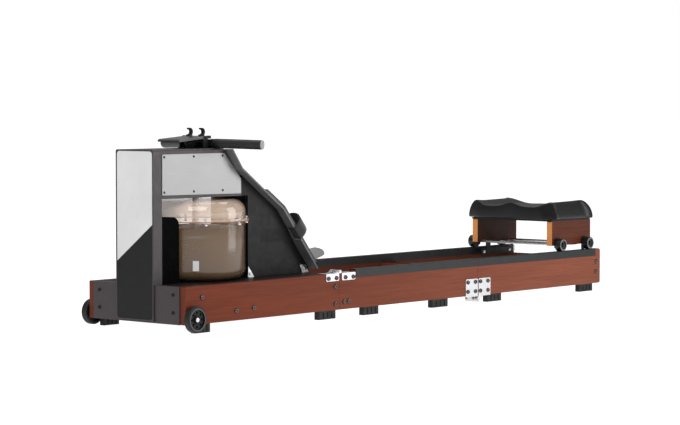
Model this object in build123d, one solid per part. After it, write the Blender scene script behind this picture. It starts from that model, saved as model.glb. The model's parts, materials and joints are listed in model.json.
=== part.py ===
from build123d import *

import math
import os

# A folding water rowing machine. Millimetres, +Z up, +X from the water tank towards the
# rower's seat, Y across the machine. The layout is drawn from the front end of the side
# boards (X = 0) on the centre plane, with the floor at Z = 0, and every piece is moved by
# ORIGIN_X when it is saved, so that the origin is the middle of the footprint.

# Driving dimensions: side boards and sections
BOARD_IN, BOARD_OUT = 177.0, 199.0        # inner and outer face of each side board, from Y = 0
BOARD_BASE = 26.0                         # underside of the boards, which is the feet's height
FRONT_TOP = 136.5                         # top of the boards in the front section
RAIL_TOP = 144.4                          # top of the boards under the track caps
TRACK_TOP = 147.4                         # surface that the seat rollers run on
TRACK_SKIRT = 122.6                       # lower edge of the track cap's sides
TRACK_WALL = 1.5
FRONT_END, MID_END, REAR_END = 680.0, 1386.0, 2100.0
JOINT_GAP = 0.5                           # each section stops this far from the joint plane
TRACK_START, TRACK_STOP = 757.0, 2070.0
CROSS_T, DECK_T = 22.0, 3.5

# Driving dimensions: folding hinges
TOP_PIN_X, TOP_PIN_Z, TOP_PIN_R, TOP_KNUCKLE_R = 681.0, 143.5, 3.0, 5.5
LOW_PIN_X, LOW_PIN_Z, LOW_PIN_R, LOW_KNUCKLE_R = 1386.0, 12.0, 4.0, 8.0
LEAF_T = 2.5
RUNNING = 0.05                            # radial clearance of every shaft in its hole
SIDE_BOLT_HEAD, SIDE_BOLT_R, SIDE_BOLT_LENGTH = 4.6, 3.0, 18.0
LEAF_BOLT_HEAD_R = 7.0

# Driving dimensions: tower
TOWER_HALF = 77.0
TOWER_FRONT, POST_REAR = -4.0, 28.0
TOWER_TOP, HEAD_BASE = 529.0, 385.0
HEAD_REAR, SLOPE_TOP_X, SLOPE_LOW_Z = 369.0, 292.0, 430.0
CASING_WALL = 2.5
PANEL_BASE, PANEL_FRAME = 30.0, 4.5
PANEL_SPLIT_LEFT, PANEL_SPLIT_RIGHT = 316.0, 198.0
PLATE_SCREWS = [(x, z) for x in (36, 160, 284) for z in (404, 507)]
PANEL_SCREWS = [(y, z) for y in (-152, 152) for z in (60, 112)]

# Driving dimensions: tank and paddle
TANK_X, TANK_R, TANK_WALL = 248.0, 151.0, 4.0
TANK_BASE, TANK_TOP, FLANGE_Z, FLANGE_R, FLANGE_T = FRONT_TOP, 378.0, 313.0, 161.0, 6.0
GASKET_T = 2.0
SHAFT_R = 10.0
BLADE_TIP_R, BLADE_LOW, BLADE_HIGH, BLADE_COUNT = 112.0, 242.0, 304.0, 8
WATER_TOP = 295.0
DRUM_R, DRUM_LOW, DRUM_HIGH = 48.0, 424.0, 464.0

# Driving dimensions: handle, strap and device stand
HANDLE_X, HANDLE_Z, HUB_HALF, GRIP_R = 273.0, 543.5, 59.0, 14.2
GRIP_END_X, GRIP_END_Y, GRIP_DROP = 323.0, 200.0, 3.5
STRAP_T, STRAP_W, STRAP_GAP = 1.6, 24.0, 0.4
ROLLER_X, ROLLER_R = 232.0, 9.0
ROLLER_Z = HANDLE_Z - STRAP_T / 2 - STRAP_GAP - ROLLER_R
STAND_PIN_X, STAND_PIN_Z = 259.0, 562.0

# Driving dimensions: footrest
FOOT_LINE = [(303.0, 527.0), (345.0, 470.0), (440.0, 404.0), (531.0, 342.0), (690.0, 150.0)]
FOOT_PLATE_T, FOOT_PLATE_HALF = 5.0, 105.0
PEDAL_T, PEDAL_IN, PEDAL_OUT = 9.0, 18.0, 103.0
SIDE_FRONT = 397.0

# Driving dimensions: seat and wheels
SEAT_AXLES_X = (1876.0, 2040.0)
SEAT_ROLLER_R, SEAT_AXLE_R = 21.0, 4.0
SEAT_AXLE_Z = TRACK_TOP + SEAT_ROLLER_R + 0.3
SEAT_BOARD_IN, SEAT_BOARD_OUT = 150.0, 172.0
SEAT_BOARD_LOW, SEAT_BOARD_HIGH, SEAT_PLATE_TOP = 166.0, 250.0, 255.0
WHEEL_X, WHEEL_Z, WHEEL_R, WHEEL_RIM_R, WHEEL_AXLE_R = 26.0, 42.0, 38.3, 33.0, 5.0
WHEEL_IN, WHEEL_OUT = 202.5, 222.5

ORIGIN_X = (REAR_END + WHEEL_X - WHEEL_R) / 2

os.makedirs("parts", exist_ok=True)


# ---------------------------------------------------------------- helpers

def block(x, y, z):
    """A box between the low and high values given for each axis."""
    middle = [(low + high) / 2 for low, high in (x, y, z)]
    return Pos(*middle) * Box(x[1] - x[0], y[1] - y[0], z[1] - z[0])


def rod(x, z, radius, y):
    """A cylinder along Y, centred on (x, z), between the two Y values."""
    return Pos(x, sum(y) / 2, z) * Rot(90, 0, 0) * Cylinder(radius, y[1] - y[0])


def column(x, y, radius, z):
    """A cylinder along Z, centred on (x, y), between the two Z values."""
    return Pos(x, y, sum(z) / 2) * Cylinder(radius, z[1] - z[0])


def side_prism(points, y):
    """An outline of (x, z) points, extruded across Y."""
    outline = Face(Wire.make_polygon([(px, y[0], pz) for px, pz in points]))
    return Solid.extrude(outline, Vector(0, y[1] - y[0], 0))


def across_prism(points, x):
    """An outline of (y, z) points, extruded along X."""
    outline = Face(Wire.make_polygon([(x[0], py, pz) for py, pz in points]))
    return Solid.extrude(outline, Vector(x[1] - x[0], 0, 0))


def mirrored(shape):
    return shape.mirror(Plane.XZ)


def pair(shape):
    """A piece and its mirror image on the other side of the machine."""
    return [shape, mirrored(shape)]


def save(name, *shapes):
    """Writes the solids of one node, moved into the row's frame."""
    solids = [solid for shape in shapes for solid in shape.solids()]
    node = Compound(children=[solid.moved(Location((-ORIGIN_X, 0, 0))) for solid in solids])
    node.label = name
    export_step(node, f"parts/{name}.step")


def bolt(radius, head, shank_r=0.0, shank=0.0):
    """A dome-headed bolt with a socket, along +Z, its head seated on Z = 0, or its head alone."""
    dome = Pos(0, 0, head / 2) * Cylinder(radius, head)
    dome = fillet(dome.edges().filter_by(GeomType.CIRCLE).sort_by(Axis.Z)[-1], head * 0.75)
    dome -= Pos(0, 0, head) * extrude(RegularPolygon(radius * 0.4, 6), head * 0.45, both=True)
    return dome + Pos(0, 0, -shank / 2) * Cylinder(shank_r, shank) if shank else dome


def bolts_on_side(places, face, radius=7.4):
    """Bolts screwed into both outer sides, at (x, z) places, seated on |Y| = face."""
    seated = Rot(-90, 0, 0) * bolt(radius, SIDE_BOLT_HEAD, SIDE_BOLT_R, SIDE_BOLT_LENGTH)
    outward = [Pos(x, face, z) * seated for x, z in places]
    return outward + [mirrored(each) for each in outward]


def drill_sides(shape, places, face):
    """Cuts the blind holes that bolts_on_side needs."""
    for x, z in places:
        for sign in (1, -1):
            hole = sorted((sign * (face - SIDE_BOLT_LENGTH - 0.5), sign * (face + 5)))
            shape -= rod(x, z, SIDE_BOLT_R + 0.1, hole)
    return shape


def foot_height(x):
    """Height of the bent foot plate's upper surface at a given x."""
    for (x0, z0), (x1, z1) in zip(FOOT_LINE, FOOT_LINE[1:]):
        if x <= x1:
            return z0 + (z1 - z0) * (x - x0) / (x1 - x0)
    return FOOT_LINE[-1][1]


def offset_line(points, distance):
    """A polyline moved sideways by distance, up and to the rear when positive, mitred at its bends."""
    normals = []
    for (x0, z0), (x1, z1) in zip(points, points[1:]):
        length = math.hypot(x1 - x0, z1 - z0)
        normals.append(((z0 - z1) / length, (x1 - x0) / length))
    moved = []
    for index, (x, z) in enumerate(points):
        before = normals[max(index - 1, 0)]
        after = normals[min(index, len(normals) - 1)]
        scale = distance / (1 + before[0] * after[0] + before[1] * after[1])
        moved.append((x + scale * (before[0] + after[0]), z + scale * (before[1] + after[1])))
    return moved


def strip(points, low, high, y):
    """A bent plate that follows points, between two offsets from them, extruded across Y."""
    return side_prism(offset_line(points, high) + offset_line(points, low)[::-1], y)


# The lower, straight run of the foot plate: distances along it (down) and out of it (normal)
KINK, TOE = FOOT_LINE[-2], FOOT_LINE[-1]
RUN = math.dist(KINK, TOE)
DOWN = ((TOE[0] - KINK[0]) / RUN, (TOE[1] - KINK[1]) / RUN)
OUT = (-DOWN[1], DOWN[0])


def on_plate(down, out):
    """The (x, z) place at a distance down the foot plate and out of it."""
    return (KINK[0] + down * DOWN[0] + out * OUT[0], KINK[1] + down * DOWN[1] + out * OUT[1])


# ---------------------------------------------------------------- boards, tracks and feet

FRONT_BOLTS = [(67, 103), (213, 55), (289, 58), (661, 99), (661, 45)]
MID_BOLTS = [(703, 50), (725, 50)]
REAR_BOLTS = [(2075, 102), (2075, 67)]
TOP_LEAF_BOLTS = {"front": [(627, 125), (664, 125)], "mid": [(707, 125), (744, 125)]}
LOW_LEAF_BOLTS = {
    "mid": [(1330, 40.5), (1330, 71.5), (1371, 40.5), (1371, 71.5)],
    "rear": [(1398, 40.5), (1398, 71.5), (1439, 40.5), (1439, 71.5)],
}
BOARD_EDGE = 2.0


def side_board(points, bolt_places):
    """One side board with eased long edges, its bolt holes drilled."""
    board = side_prism(points, (BOARD_IN, BOARD_OUT))
    board = fillet(board.edges().filter_by(Axis.Y), BOARD_EDGE)
    return drill_sides(board, bolt_places, BOARD_OUT)


def cross_board(x, z):
    return block(x, (-BOARD_IN, BOARD_IN), z)


def build_boards():
    front_stop = FRONT_END - JOINT_GAP
    front = side_board(
        [(0, BOARD_BASE), (front_stop, BOARD_BASE), (front_stop, FRONT_TOP), (0, FRONT_TOP)],
        FRONT_BOLTS + TOP_LEAF_BOLTS["front"])
    front -= rod(WHEEL_X, WHEEL_Z, WHEEL_AXLE_R, (BOARD_IN - 1, BOARD_OUT + 1))
    save("front_boards", *pair(front), cross_board((650, 650 + CROSS_T), (40, 120)))

    mid_start, mid_stop = FRONT_END + JOINT_GAP, MID_END - JOINT_GAP
    mid = side_board(
        [(mid_start, BOARD_BASE), (mid_stop, BOARD_BASE), (mid_stop, RAIL_TOP), (TRACK_START, RAIL_TOP),
         (TRACK_START - 2, FRONT_TOP), (mid_start, FRONT_TOP)],
        MID_BOLTS + TOP_LEAF_BOLTS["mid"] + LOW_LEAF_BOLTS["mid"])
    save("mid_boards", *pair(mid), cross_board((692, 736), (39, 39 + CROSS_T)),
         cross_board((1340, 1340 + CROSS_T), (40, 118)))

    rear_start = MID_END + JOINT_GAP
    rear = side_prism(
        [(rear_start, BOARD_BASE), (REAR_END, BOARD_BASE), (REAR_END, TRACK_TOP), (TRACK_STOP, TRACK_TOP),
         (TRACK_STOP, RAIL_TOP), (rear_start, RAIL_TOP)], (BOARD_IN, BOARD_OUT))
    ends = [e for e in rear.edges().filter_by(Axis.Y) if e.center().X > REAR_END - 1]
    rear = drill_sides(fillet(ends, 8.0), REAR_BOLTS + LOW_LEAF_BOLTS["rear"], BOARD_OUT)
    save("rear_boards", *pair(rear), cross_board((1402, 1402 + CROSS_T), (40, 118)),
         cross_board((2064, 2064 + CROSS_T), (30, 118)))

    panel = block((TOWER_FRONT, 18), (-BOARD_IN, BOARD_IN), (BOARD_BASE, FRONT_TOP))
    for y, z in PANEL_SCREWS:
        panel -= Pos(TOWER_FRONT, y, z) * Rot(0, 90, 0) * Cylinder(2.6, 40)
    save("front_cross_panel", panel)
    save("deck_plate", block((18, 648), (-BOARD_IN, BOARD_IN), (FRONT_TOP - DECK_T, FRONT_TOP)))


def build_tracks():
    def cap(x):
        outer = block(x, (BOARD_IN - TRACK_WALL, BOARD_OUT + TRACK_WALL), (TRACK_SKIRT, TRACK_TOP))
        long_edges = outer.edges().filter_by(Axis.X).sort_by(Axis.Z)[-2:]
        return fillet(long_edges, 1.2) - block(x, (BOARD_IN, BOARD_OUT), (TRACK_SKIRT - 1, RAIL_TOP))

    save("mid_tracks", *pair(cap((TRACK_START, MID_END - JOINT_GAP))))
    save("rear_tracks", *pair(cap((MID_END + JOINT_GAP, TRACK_STOP))))
    stop = fillet(block((2070, 2082), (158, BOARD_IN), (124, 146)).edges().filter_by(Axis.Y), 4.0)
    save("rear_end_stops", *pair(stop))


def build_feet():
    """Rubber feet with upright grooves in their outer sides."""
    def foot(x0, x1):
        shape = block((x0, x1), (BOARD_IN + 1, BOARD_OUT - 1), (0, BOARD_BASE))
        shape = fillet(shape.edges().filter_by(Axis.Z), 3.0)
        shape = fillet(shape.edges().sort_by(Axis.Z)[:4], 1.5)
        pitch = (x1 - x0) / 4
        for index in (1, 2, 3):
            middle = x0 + index * pitch
            for y in (BOARD_IN + 1, BOARD_OUT - 1):
                shape -= block((middle - 3, middle + 3), (y - 2, y + 2), (4, BOARD_BASE - 4))
        return shape

    places = {"front_feet": ((40, 104), (585, 665)), "mid_feet": ((798, 873), (1145, 1228)),
              "rear_feet": ((1440, 1520), (1977, 2057))}
    for name, spans in places.items():
        save(name, *[each for span in spans for each in pair(foot(*span))])


def build_frame_bolts():
    face = BOARD_OUT + LEAF_T
    save("front_bolts", *bolts_on_side(FRONT_BOLTS, BOARD_OUT),
         *bolts_on_side(TOP_LEAF_BOLTS["front"], face, LEAF_BOLT_HEAD_R))
    save("mid_bolts", *bolts_on_side(MID_BOLTS, BOARD_OUT),
         *bolts_on_side(TOP_LEAF_BOLTS["mid"] + LOW_LEAF_BOLTS["mid"], face, LEAF_BOLT_HEAD_R))
    save("rear_bolts", *bolts_on_side(REAR_BOLTS, BOARD_OUT),
         *bolts_on_side(LOW_LEAF_BOLTS["rear"], face, LEAF_BOLT_HEAD_R))


# ---------------------------------------------------------------- folding hinges

def knuckle(x, z, radius, bore, y, lug):
    """One knuckle of a hinge: a barrel round the pin and the lug that joins it to its leaf."""
    return rod(x, z, radius, y) + side_prism(lug, y) - rod(x, z, bore, (y[0] - 1, y[1] + 1))


def build_top_hinges():
    """Hinges on top of the boards, between the front and middle sections."""
    top = FRONT_TOP + LEAF_T
    leaf_low, leaf_out = 116.0, BOARD_OUT + LEAF_T
    outer, centre, inner = (188.0, 200.0), (175.3, 187.7), (163.0, 175.0)

    def leaf(x, places):
        side = block(x, (BOARD_OUT, leaf_out), (leaf_low, top))
        plate = fillet(side.edges().filter_by(Axis.Y).sort_by(Axis.Z)[:2], 5.0)
        plate += block(x, (163, leaf_out), (FRONT_TOP, top))
        for px, pz in places:
            plate -= rod(px, pz, 3.1, (BOARD_OUT - 1, leaf_out + 1))
        return plate

    front = leaf((616, 676), TOP_LEAF_BOLTS["front"])
    front_lug = [(664, FRONT_TOP), (676, FRONT_TOP), (TOP_PIN_X - 0.6, TOP_PIN_Z - 3.5),
                 (TOP_PIN_X, TOP_PIN_Z), (TOP_PIN_X - 3.5, TOP_PIN_Z + 3.5), (664, top)]
    for y in (outer, inner):
        front += knuckle(TOP_PIN_X, TOP_PIN_Z, TOP_KNUCKLE_R, TOP_PIN_R, y, front_lug)
    pin_head = rod(TOP_PIN_X, TOP_PIN_Z, 5.2, (200, 202.5))
    pin = rod(TOP_PIN_X, TOP_PIN_Z, TOP_PIN_R, (161.5, 201.5)) + pin_head
    save("front_hinge_leaves", *pair(front), *pair(pin))

    mid = leaf((690, 754), TOP_LEAF_BOLTS["mid"])
    mid_lug = [(690, FRONT_TOP), (702, FRONT_TOP), (702, top), (TOP_PIN_X + 3.5, TOP_PIN_Z + 3.5),
               (TOP_PIN_X, TOP_PIN_Z), (TOP_PIN_X + 2.5, TOP_PIN_Z - 4)]
    mid += knuckle(TOP_PIN_X, TOP_PIN_Z, TOP_KNUCKLE_R, TOP_PIN_R + RUNNING, centre, mid_lug)
    return mid


def build_low_hinges(mid_top_leaf):
    """Hinges under the boards, between the middle and rear sections."""
    leaf_out = BOARD_OUT + LEAF_T
    under = BOARD_BASE - LEAF_T
    outer, centre, inner = (186.0, leaf_out), (168.3, 185.7), (152.0, 168.0)
    high = 82.0

    def leaf(x, places):
        side = block(x, (BOARD_OUT, leaf_out), (under, high))
        plate = fillet(side.edges().filter_by(Axis.Y).sort_by(Axis.Z)[-2:], 5.0)
        near = (1336, 1384) if x[0] < LOW_PIN_X else (1388, 1436)
        plate += block(near, (152, leaf_out), (under, BOARD_BASE))
        for px, pz in places:
            plate -= rod(px, pz, 3.1, (BOARD_OUT - 1, leaf_out + 1))
        return plate

    def lug(sign):
        places = ((2, BOARD_BASE), (24, BOARD_BASE), (24, under), (6, LOW_PIN_Z - 5),
                  (0, LOW_PIN_Z), (2, under - 4))
        return [(LOW_PIN_X + sign * dx, dz) for dx, dz in places]

    mid = leaf((1319, 1384), LOW_LEAF_BOLTS["mid"])
    mid += knuckle(LOW_PIN_X, LOW_PIN_Z, LOW_KNUCKLE_R, LOW_PIN_R + RUNNING, centre, lug(-1))
    save("mid_hinge_leaves", *pair(mid_top_leaf), *pair(mid))

    rear = leaf((1388, 1453), LOW_LEAF_BOLTS["rear"])
    for y in (outer, inner):
        rear += knuckle(LOW_PIN_X, LOW_PIN_Z, LOW_KNUCKLE_R, LOW_PIN_R, y, lug(1))
    pin = rod(LOW_PIN_X, LOW_PIN_Z, LOW_PIN_R, (150.5, leaf_out))
    pin += rod(LOW_PIN_X, LOW_PIN_Z, 6.0, (leaf_out, leaf_out + 2))
    save("rear_hinge_leaves", *pair(rear), *pair(pin))


# ---------------------------------------------------------------- tower

def casing_outline(wall):
    """The tower's side outline, inset by the wall all round and open at the post's foot."""
    foot = FRONT_TOP if wall == 0 else FRONT_TOP - 1
    return [(TOWER_FRONT + wall, foot), (POST_REAR - wall, foot), (POST_REAR - wall, HEAD_BASE + wall),
            (HEAD_REAR - wall, HEAD_BASE + wall), (HEAD_REAR - wall, SLOPE_LOW_Z - wall * 0.5),
            (SLOPE_TOP_X - wall * 0.5, TOWER_TOP - wall), (TOWER_FRONT + wall, TOWER_TOP - wall)]


def front_window(depth, inset):
    """The opening in the front frame that the two cover panels fill."""
    y = TOWER_HALF - PANEL_FRAME - inset
    window = block((TOWER_FRONT - depth, TOWER_FRONT), (-y, y),
                   (PANEL_BASE + PANEL_FRAME + inset, TOWER_TOP - PANEL_FRAME - inset))
    return fillet(window.edges().filter_by(Axis.X), 10.0)


def build_tower():
    frame_depth = 4.0
    outer = side_prism(casing_outline(0), (-TOWER_HALF, TOWER_HALF))
    outer += block((TOWER_FRONT - frame_depth, TOWER_FRONT), (-TOWER_HALF, TOWER_HALF),
                   (PANEL_BASE, TOWER_TOP))
    top_edges = [e for e in outer.edges().filter_by(Axis.X)
                 if e.center().Z > TOWER_TOP - 0.1 and abs(e.center().Y) > TOWER_HALF - 0.1]
    outer = fillet(top_edges, 6.0)
    inner_half = TOWER_HALF - CASING_WALL
    casing = outer - side_prism(casing_outline(CASING_WALL), (-inner_half, inner_half))
    casing -= front_window(frame_depth, 0)
    casing -= column(TANK_X, 0, SHAFT_R + 2, (HEAD_BASE - 1, HEAD_BASE + CASING_WALL + 1))
    casing -= block((ROLLER_X - 14, ROLLER_X + 12), (-13.6, 13.6),
                    (TOWER_TOP - CASING_WALL - 1, TOWER_TOP + 1))
    for x, z in PLATE_SCREWS:
        casing -= rod(x, z, 1.8, (-TOWER_HALF - 1, TOWER_HALF + 1))
    save("tower_casing", casing)

    cover = front_window(frame_depth - 0.5, 0)
    half = TOWER_HALF + 1
    upper = across_prism([(-half, PANEL_SPLIT_LEFT), (half, PANEL_SPLIT_RIGHT), (half, 600), (-half, 600)],
                         (TOWER_FRONT - 6, TOWER_FRONT + 1))
    save("front_panel_white", cover & upper)
    save("front_panel_dark", cover - upper)

    plate_line = [(POST_REAR, 396), (365, 392), (364, 438), (292, 515), (POST_REAR, 515)]
    plate = side_prism(plate_line, (TOWER_HALF, TOWER_HALF + 2))
    plate = fillet(plate.edges().filter_by(Axis.Y), 2.0)
    for x, z in PLATE_SCREWS:
        plate -= rod(x, z, 1.8, (TOWER_HALF - 1, TOWER_HALF + 3))
    save("steel_side_plates", *pair(plate))
    plate_screw = Rot(-90, 0, 0) * bolt(3.6, 1.6, 1.7, 10)
    panel_screw = Rot(0, -90, 0) * bolt(5.5, 2.6, 2.5, 18)
    screws = [each for x, z in PLATE_SCREWS for each in pair(Pos(x, TOWER_HALF + 2, z) * plate_screw)]
    save("plate_screws", *screws, *[Pos(TOWER_FRONT, y, z) * panel_screw for y, z in PANEL_SCREWS])

    shell = block((POST_REAR, 100), (-TOWER_HALF, TOWER_HALF), (FRONT_TOP, 331))
    shell = fillet(shell.edges().filter_by(Axis.Y).sort_by(Axis.Z)[-2:].sort_by(Axis.X)[-1], 26.0)
    shell = fillet(shell.edges().filter_by(Axis.X).sort_by(Axis.Z)[-2:], 2.0)
    shell -= block((POST_REAR + 4, 70), (-TOWER_HALF + 4, TOWER_HALF - 4), (FRONT_TOP - 1, 300))
    shell -= column(TANK_X, 0, FLANGE_R + 3, (FRONT_TOP - 1, 340))
    save("column_housing", shell)



# ---------------------------------------------------------------- tank, paddle and drive

def drum_shape(radius, z, corner, top):
    """A round tank body with one rounded rim, at its top or its base."""
    body = column(TANK_X, 0, radius, z)
    rims = body.edges().filter_by(GeomType.CIRCLE).sort_by(Axis.Z)
    return fillet(rims[-1] if top else rims[0], corner)


def around_tank(count, radius, start=0.0):
    """Places spaced evenly round the tank's axis."""
    for index in range(count):
        angle = math.radians(start + 360 / count * index)
        yield TANK_X + radius * math.cos(angle), radius * math.sin(angle)


def build_tank():
    upper_z = FLANGE_Z + GASKET_T
    bolt_circle = 156.0
    lower = drum_shape(TANK_R, (TANK_BASE, FLANGE_Z), 34, top=False)
    lower += column(TANK_X, 0, FLANGE_R, (FLANGE_Z - FLANGE_T, FLANGE_Z))
    lower -= drum_shape(TANK_R - TANK_WALL, (TANK_BASE + TANK_WALL, FLANGE_Z), 30, top=False)
    upper = drum_shape(TANK_R, (upper_z, TANK_TOP), 38, top=True)
    upper += column(TANK_X, 0, FLANGE_R, (upper_z, upper_z + FLANGE_T))
    upper -= drum_shape(TANK_R - TANK_WALL, (upper_z, TANK_TOP - TANK_WALL), 34, top=True)
    upper += column(TANK_X, 0, SHAFT_R + 10, (TANK_TOP - TANK_WALL, HEAD_BASE))
    upper -= column(TANK_X, 0, SHAFT_R + RUNNING, (TANK_TOP - 10, HEAD_BASE + 1))
    gasket = column(TANK_X, 0, FLANGE_R - 1, (FLANGE_Z, upper_z))
    gasket -= column(TANK_X, 0, TANK_R - TANK_WALL + 1, (FLANGE_Z - 1, upper_z + 1))
    bolts = []
    for x, y in around_tank(8, bolt_circle, 10):
        hole = column(x, y, 2.6, (FLANGE_Z - 12, upper_z + 12))
        lower, upper, gasket = lower - hole, upper - hole, gasket - hole
        bolts.append(Pos(x, y, upper_z + FLANGE_T) * bolt(4.6, 4.0, 2.5, 2 * FLANGE_T + GASKET_T))
        nut = Pos(x, y, FLANGE_Z - FLANGE_T - 4) * extrude(RegularPolygon(4.8, 6), 4)
        bolts[-1] += nut
    save("tank_lower_shell", lower)
    save("tank_upper_shell", upper)
    save("tank_gasket", gasket)
    save("tank_bolts", *bolts)

    water = drum_shape(TANK_R - TANK_WALL, (TANK_BASE + TANK_WALL, WATER_TOP), 30, top=False)
    water -= column(TANK_X, 0, BLADE_TIP_R + 6, (BLADE_LOW - 8, WATER_TOP + 1))
    save("tank_water", water)


def build_paddle():
    shaft = column(TANK_X, 0, SHAFT_R, (BLADE_LOW - 4, 474))
    save("paddle_shaft", shaft)
    hub = column(TANK_X, 0, 20, (BLADE_LOW, BLADE_HIGH))
    blade = block((TANK_X + 18, TANK_X + BLADE_TIP_R), (-2, 2), (BLADE_LOW + 6, BLADE_HIGH - 6))
    blade = fillet(blade.edges().filter_by(Axis.Y).sort_by(Axis.X)[-2:], 12.0)
    turn = Axis((TANK_X, 0, 0), (0, 0, 1))
    for index in range(BLADE_COUNT):
        hub += blade.rotate(turn, 360 / BLADE_COUNT * index)
    save("paddle_blades", hub - column(TANK_X, 0, SHAFT_R, (BLADE_LOW - 1, BLADE_HIGH + 1)))


def build_drive():
    """The strap drum on the paddle shaft, its recoil case and the strap's guide roller."""
    drum = column(TANK_X, 0, 36, (DRUM_LOW, DRUM_HIGH))
    for z in (DRUM_LOW, DRUM_HIGH - 4):
        drum += column(TANK_X, 0, DRUM_R, (z, z + 4))
    drum += column(TANK_X, 0, 44, (DRUM_LOW + 6, DRUM_HIGH - 6))
    save("strap_drum", drum - column(TANK_X, 0, SHAFT_R + RUNNING, (DRUM_LOW - 1, DRUM_HIGH + 1)))

    inner_half = TOWER_HALF - CASING_WALL
    plate = block((190, 306), (-inner_half, inner_half), (392, 398))
    plate += column(TANK_X, 0, 18, (392, 402))
    case = column(TANK_X, 0, 42, (398, 420)) - column(TANK_X, 0, 39, (400, 418))
    bracket = plate + case - column(TANK_X, 0, SHAFT_R + 1, (390, 422))
    roller_half = 13.0
    cheek = block((ROLLER_X - 8, ROLLER_X + 8), (14, 17), (TOWER_TOP, ROLLER_Z + 7))
    cheek += block((ROLLER_X - 12, ROLLER_X + 12), (14, 26), (TOWER_TOP, TOWER_TOP + 2))
    axle = rod(ROLLER_X, ROLLER_Z, 3.0, (-17, 17))
    save("drum_bracket", bracket, *pair(cheek - rod(ROLLER_X, ROLLER_Z, 3.0, (13, 18))), axle)
    save("strap_guide_roller", rod(ROLLER_X, ROLLER_Z, ROLLER_R, (-roller_half, roller_half))
         - rod(ROLLER_X, ROLLER_Z, 3.0 + RUNNING, (-roller_half - 1, roller_half + 1)))


# ---------------------------------------------------------------- handle and device stand

def build_handle():
    hub_x = (HANDLE_X - 17, HANDLE_X + 17)
    hub = block(hub_x, (-HUB_HALF, HUB_HALF), (HANDLE_Z - 12.3, HANDLE_Z + 12.3))
    hub = fillet(hub.edges().filter_by(Axis.Y), 7.0)
    anchor = rod(HANDLE_X - 17, HANDLE_Z, 2.5, (-STRAP_W / 2 - 2, STRAP_W / 2 + 2))
    path = FilletPolyline((HANDLE_X, HUB_HALF, HANDLE_Z), (HANDLE_X, HUB_HALF + 16, HANDLE_Z),
                          (GRIP_END_X, GRIP_END_Y, HANDLE_Z - GRIP_DROP), radius=40)
    grip = sweep(Plane(origin=path @ 0, z_dir=path % 0) * Circle(GRIP_R), path=path)
    cap = extrude(Plane(origin=path @ 1, z_dir=path % 1) * Circle(GRIP_R - 0.4), 5.0)
    cap = fillet(cap.faces().sort_by(Axis.Y)[-1].edges(), 1.5)
    save("handle_hub", hub + anchor)
    save("handle_grips", *pair(grip))
    screw_top = HANDLE_Z + 12.3
    screws = [Pos(HANDLE_X - 2, y, screw_top) * bolt(4.5, 1.8) for y in (-HUB_HALF + 9, HUB_HALF - 9)]
    save("handle_fittings", *pair(cap), *screws)

    line = ROLLER_R + STRAP_GAP
    wrap = rod(ROLLER_X, ROLLER_Z, line + STRAP_T, (-STRAP_W / 2, STRAP_W / 2))
    wrap -= rod(ROLLER_X, ROLLER_Z, line, (-STRAP_W, STRAP_W))
    wrap &= block((ROLLER_X - 40, ROLLER_X), (-STRAP_W, STRAP_W), (ROLLER_Z, ROLLER_Z + 40))
    flat = block((ROLLER_X, HANDLE_X - 19.6), (-STRAP_W / 2, STRAP_W / 2),
                 (ROLLER_Z + line, ROLLER_Z + line + STRAP_T))
    drop = block((ROLLER_X - line - STRAP_T, ROLLER_X - line), (-STRAP_W / 2, STRAP_W / 2), (472, ROLLER_Z))
    save("pull_strap", wrap + flat + drop)


def build_stand():
    """The cradle that the handle rests in and the tilting stand for a phone or tablet."""
    rest = block((252, 296), (-48, 48), (TOWER_TOP, TOWER_TOP + 1.6))
    ear_line = [(232, TOWER_TOP), (250, TOWER_TOP), (250, 558), (264, 558), (264, 567), (246, 567),
                (232, 552)]
    ear = side_prism(ear_line, (46.5, 50.5)) - rod(STAND_PIN_X, STAND_PIN_Z, 2.0, (40, 60))
    foot = block((226, 250), (30, 50.5), (TOWER_TOP, TOWER_TOP + 3))
    lip = block((250, 254), (18, 46), (TOWER_TOP, TOWER_TOP + 10))
    pin = rod(STAND_PIN_X, STAND_PIN_Z, 2.0, (34, 50.5))
    save("top_bracket", rest + ear + foot + lip + mirrored(ear + foot + lip), *pair(pin))

    tray_line = [(134, 551), (137, 549), (150, 550), (250, 558.5), (263, 559.5), (263, 565), (254, 566.2),
                 (140, 557.5), (135, 555)]
    tray = side_prism(tray_line, (-45, 45))
    tray -= rod(STAND_PIN_X, STAND_PIN_Z, 2.0 + RUNNING, (33, 46))
    tray -= rod(STAND_PIN_X, STAND_PIN_Z, 2.0 + RUNNING, (-46, -33))
    save("phone_tray", tray)

    ring_x, ring_z, outer, inner = 247.0, 578.0, 12.0, 7.2
    hook = rod(ring_x, ring_z, outer, (19, 31)) - rod(ring_x, ring_z, inner, (18, 32))
    hook -= side_prism([(ring_x, ring_z), (ring_x - 40, ring_z - 18), (ring_x - 40, ring_z + 34),
                        (ring_x - 6, ring_z + 20)], (18, 32))
    hook -= block((ring_x - 40, ring_x), (18, 32), (540, ring_z))
    hook -= side_prism([(ring_x - 1, 540), (ring_x + 40, 540), (ring_x + 40, 567),
                        (ring_x - 1, 566)], (18, 32))
    foot_of_hook = side_prism([(239, 565.1), (256, 566.1), (257, 570), (243, 570)], (19, 31))
    save("phone_hooks", *pair(hook + foot_of_hook - tray))


# ---------------------------------------------------------------- footrest

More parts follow.
